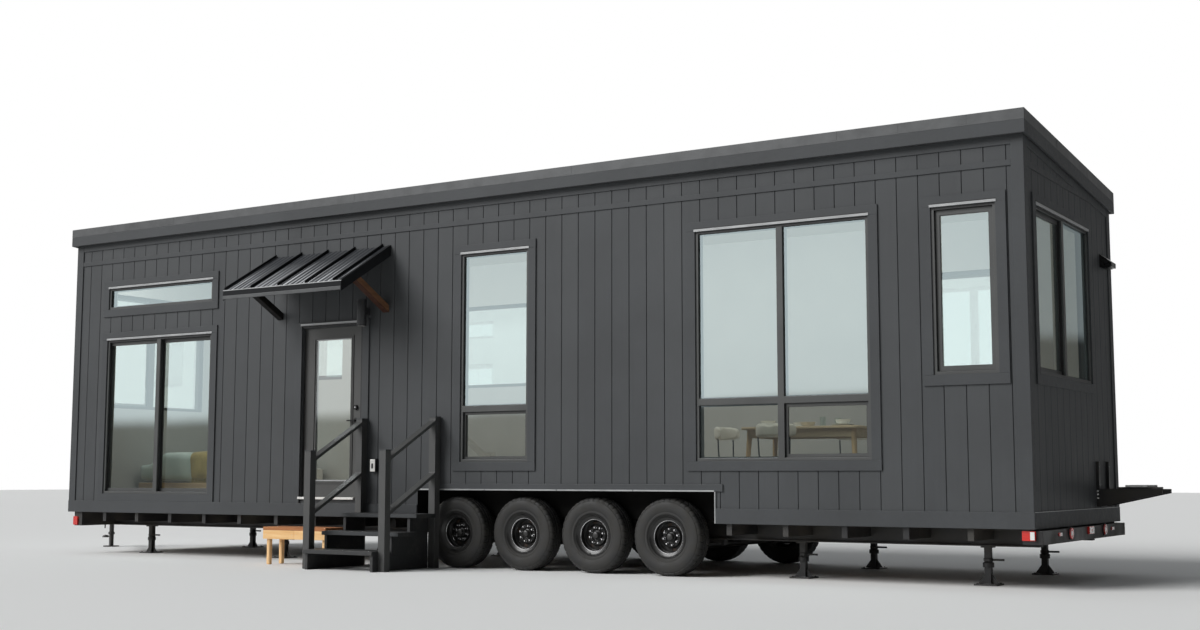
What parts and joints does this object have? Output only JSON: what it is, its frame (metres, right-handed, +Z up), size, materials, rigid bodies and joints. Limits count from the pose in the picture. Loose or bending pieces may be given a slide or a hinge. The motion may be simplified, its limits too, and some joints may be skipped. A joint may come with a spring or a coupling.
{
  "type": "tiny house",
  "caption": "Long dark tiny house on a trailer frame with a shed roof, big windows, a glazed door under a sloped canopy, and entrance steps with railings.",
  "frame": {"origin": "on the ground under the middle of the whole part, tongue and steps included", "axes": "+X from the tongue end to the bumper end, -Y towards the entrance front, +Z up"},
  "size_m": [14.64, 4.203, 4.3111],
  "materials": {
    "siding": "satin charcoal paint on grooved panels",
    "trim_boards": "satin charcoal paint",
    "roofing": "matt membrane",
    "edge_metal": "satin folded sheet",
    "floor_boards": "matt boards",
    "frame_black": "satin black",
    "window_glass": "clear",
    "door_paint": "satin charcoal",
    "door_glass": "clear",
    "hardware_black": "satin black",
    "canopy_metal": "satin standing-seam sheet",
    "canopy_timber": "stained",
    "socket_box": "black",
    "rail_paint": "satin charcoal paint",
    "cedar": "planed, unfinished",
    "chassis_steel": "black paint",
    "lamp_red": "gloss",
    "bedding": "cotton",
    "furniture_wood": "pale satin wood",
    "tyre": "matt",
    "rim_black": "gloss black with bright nuts"
  },
  "bodies": {
    "house": {"front_wall_left": "siding", "front_wall_over_door": "siding", "front_wall_right": "siding", "back_wall": "siding", "left_wall": "siding", "right_wall": "siding", "fascia_boards": "trim_boards", "skirt_boards": "trim_boards", "band_boards": "trim_boards", "corner_boards": "trim_boards", "window_trim": "trim_boards", "roof": "roofing", "roof_edge_cap": "edge_metal", "vent_hood": "edge_metal", "floor": "floor_boards", "front_window_frames": "frame_black", "end_window_frames": "frame_black", "back_window_frames": "frame_black", "front_window_glass": "window_glass", "back_and_end_glass": "window_glass", "door_frame": "door_paint", "door_hinges": "hardware_black", "porch_lamp": "hardware_black", "canopy_roof": "canopy_metal", "canopy_frame": "canopy_timber", "canopy_braces": "canopy_timber", "outlet_box": "socket_box", "step_flight": "rail_paint", "step_railings": "rail_paint", "cedar_step": "cedar", "chassis_beams": "chassis_steel", "chassis_crossmembers": "chassis_steel", "tongue": "chassis_steel", "axles": "chassis_steel", "support_stands": "chassis_steel", "wheel_wells": "chassis_steel", "wall_bracket": "chassis_steel", "tail_lamps": "lamp_red", "bed": "bedding", "dining_set": "furniture_wood"},
    "door": {"door_leaf": "door_paint", "door_glass": "door_glass", "door_handle": "hardware_black", "door_hinge_leaves": "hardware_black"},
    "wheel_front_1": {"tyre_front_1": "tyre", "rim_front_1": "rim_black"},
    "wheel_front_2": {"tyre_front_2": "tyre", "rim_front_2": "rim_black"},
    "wheel_front_3": {"tyre_front_3": "tyre", "rim_front_3": "rim_black"},
    "wheel_front_4": {"tyre_front_4": "tyre", "rim_front_4": "rim_black"},
    "wheel_back_1": {"tyre_back_1": "tyre", "rim_back_1": "rim_black"},
    "wheel_back_2": {"tyre_back_2": "tyre", "rim_back_2": "rim_black"},
    "wheel_back_3": {"tyre_back_3": "tyre", "rim_back_3": "rim_black"},
    "wheel_back_4": {"tyre_back_4": "tyre", "rim_back_4": "rim_black"}
  },
  "joints": [
    {"name": "door_hinge", "type": "hinge", "parent": "house", "child": "door", "pos_m": [-2.0225, -0.9495, 1.8], "axis": [0, 0, 1], "range_deg": [0, 95]},
    {"name": "wheel_front_1_spin", "type": "hinge", "parent": "house", "child": "wheel_front_1", "pos_m": [0.274, -0.894, 0.3925], "axis": [0, 1, 0], "continuous": true},
    {"name": "wheel_front_2_spin", "type": "hinge", "parent": "house", "child": "wheel_front_2", "pos_m": [1.166, -0.894, 0.3925], "axis": [0, 1, 0], "continuous": true},
    {"name": "wheel_front_3_spin", "type": "hinge", "parent": "house", "child": "wheel_front_3", "pos_m": [2.058, -0.894, 0.3925], "axis": [0, 1, 0], "continuous": true},
    {"name": "wheel_front_4_spin", "type": "hinge", "parent": "house", "child": "wheel_front_4", "pos_m": [2.95, -0.894, 0.3925], "axis": [0, 1, 0], "continuous": true},
    {"name": "wheel_back_1_spin", "type": "hinge", "parent": "house", "child": "wheel_back_1", "pos_m": [0.274, 1.861, 0.3925], "axis": [0, 1, 0], "continuous": true},
    {"name": "wheel_back_2_spin", "type": "hinge", "parent": "house", "child": "wheel_back_2", "pos_m": [1.166, 1.861, 0.3925], "axis": [0, 1, 0], "continuous": true},
    {"name": "wheel_back_3_spin", "type": "hinge", "parent": "house", "child": "wheel_back_3", "pos_m": [2.058, 1.861, 0.3925], "axis": [0, 1, 0], "continuous": true},
    {"name": "wheel_back_4_spin", "type": "hinge", "parent": "house", "child": "wheel_back_4", "pos_m": [2.95, 1.861, 0.3925], "axis": [0, 1, 0], "continuous": true}
  ]
}
